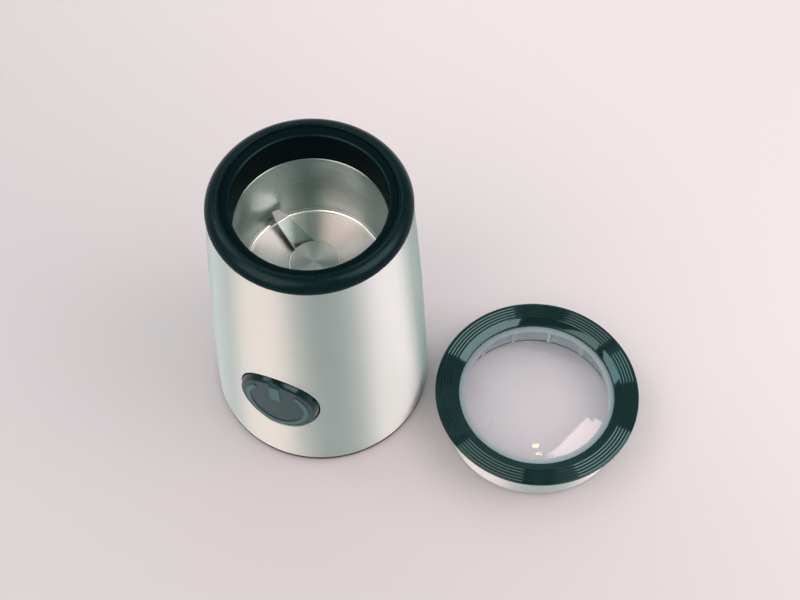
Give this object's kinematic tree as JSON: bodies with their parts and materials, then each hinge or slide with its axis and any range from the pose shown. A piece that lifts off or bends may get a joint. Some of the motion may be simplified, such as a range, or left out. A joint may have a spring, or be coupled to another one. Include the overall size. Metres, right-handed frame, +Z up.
{
  "type": "electric spice grinder",
  "caption": "Tapered steel blade grinder with open bowl, two-winged blade, oval push button, internal motor and a domed lid lying beside it.",
  "frame": {"origin": "on the table, on the axis of the grinder's shaft", "axes": "+Z up along the shaft; the button faces -Y and the cord inlet +Y; the lid lies on the table on +X"},
  "size_m": [0.1999, 0.1098, 0.145],
  "materials": {
    "shell_steel": "stainless steel, brushed across the height",
    "bowl_steel": "stainless steel, satin inside",
    "black_gloss": "moulded ABS, polished",
    "black_matte": "moulded ABS, fine texture",
    "grey_moulding": "moulded polypropylene",
    "white_moulding": "moulded polyester",
    "red_moulding": "moulded acetal",
    "yellow_case": "polypropylene case",
    "clear_plastic": "clear moulded plastic, polished",
    "rubber": "moulded rubber",
    "sintered_bronze": "oil-filled sintered bronze",
    "cast_aluminium": "die cast",
    "lamination_steel": "stacked laminations, varnished",
    "copper_wire": "enamelled copper wire",
    "copper_bar": "turned copper",
    "brass": "pressed brass",
    "ground_steel": "ground steel",
    "zinc_plate": "zinc plated",
    "spring_steel": "drawn wire",
    "carbon": "pressed carbon"
  },
  "bodies": {
    "housing": {"outer_shell": "shell_steel", "rubber_feet": "rubber", "base_plate": "black_matte", "base_screws": "zinc_plate", "inner_housing": "grey_moulding", "collar_ring": "black_gloss", "grinding_bowl": "bowl_steel", "bowl_gasket": "rubber", "shaft_seal": "rubber", "upper_bearing": "sintered_bronze", "lower_bearing": "sintered_bronze", "upper_bracket": "cast_aluminium", "lower_bracket": "cast_aluminium", "stator_core": "lamination_steel", "field_coils": "copper_wire", "thermal_cutout": "white_moulding", "motor_screws": "zinc_plate", "motor_dampers": "rubber", "damper_screws": "zinc_plate", "brush_holders": "brass", "carbon_brushes": "carbon", "brush_springs": "spring_steel", "button_spring": "spring_steel", "switch_carrier": "black_matte", "push_switch": "black_matte", "switch_terminals": "brass", "capacitor": "yellow_case", "cord_inlet": "rubber"},
    "rotor": {"motor_shaft": "ground_steel", "armature_core": "lamination_steel", "armature_windings": "copper_wire", "commutator": "copper_bar", "cooling_fan": "grey_moulding", "blade_spacer": "bowl_steel", "blade": "bowl_steel", "blade_cap": "bowl_steel"},
    "button": {"power_button": "black_gloss"},
    "plunger": {"switch_plunger": "red_moulding"},
    "lid": {"lid_rim": "black_gloss", "lid_band": "shell_steel", "lid_window": "clear_plastic", "lid_gasket": "rubber"}
  },
  "joints": [
    {"name": "rotor_spin", "type": "hinge", "parent": "housing", "child": "rotor", "pos_m": [0, 0, 0], "axis": [0, 0, 1], "continuous": true},
    {"name": "button_press", "type": "slide", "parent": "housing", "child": "button", "axis": [0, 1, 0], "range_m": [0, 0.0024], "stiffness_N_per_m": 1200, "springref_m": -0.003, "deforming": ["button_spring"]},
    {"name": "plunger_press", "type": "slide", "parent": "housing", "child": "plunger", "axis": [0, 1, 0], "range_m": [0, 0.0024]},
    {"name": "lid_lift", "type": "slide", "parent": "housing", "child": "lid", "axis": [0, 0, 1], "range_m": [0, 0.15]}
  ],
  "couplings": [
    {"joint": "plunger_press", "follows": "button_press", "ratio": 1}
  ]
}
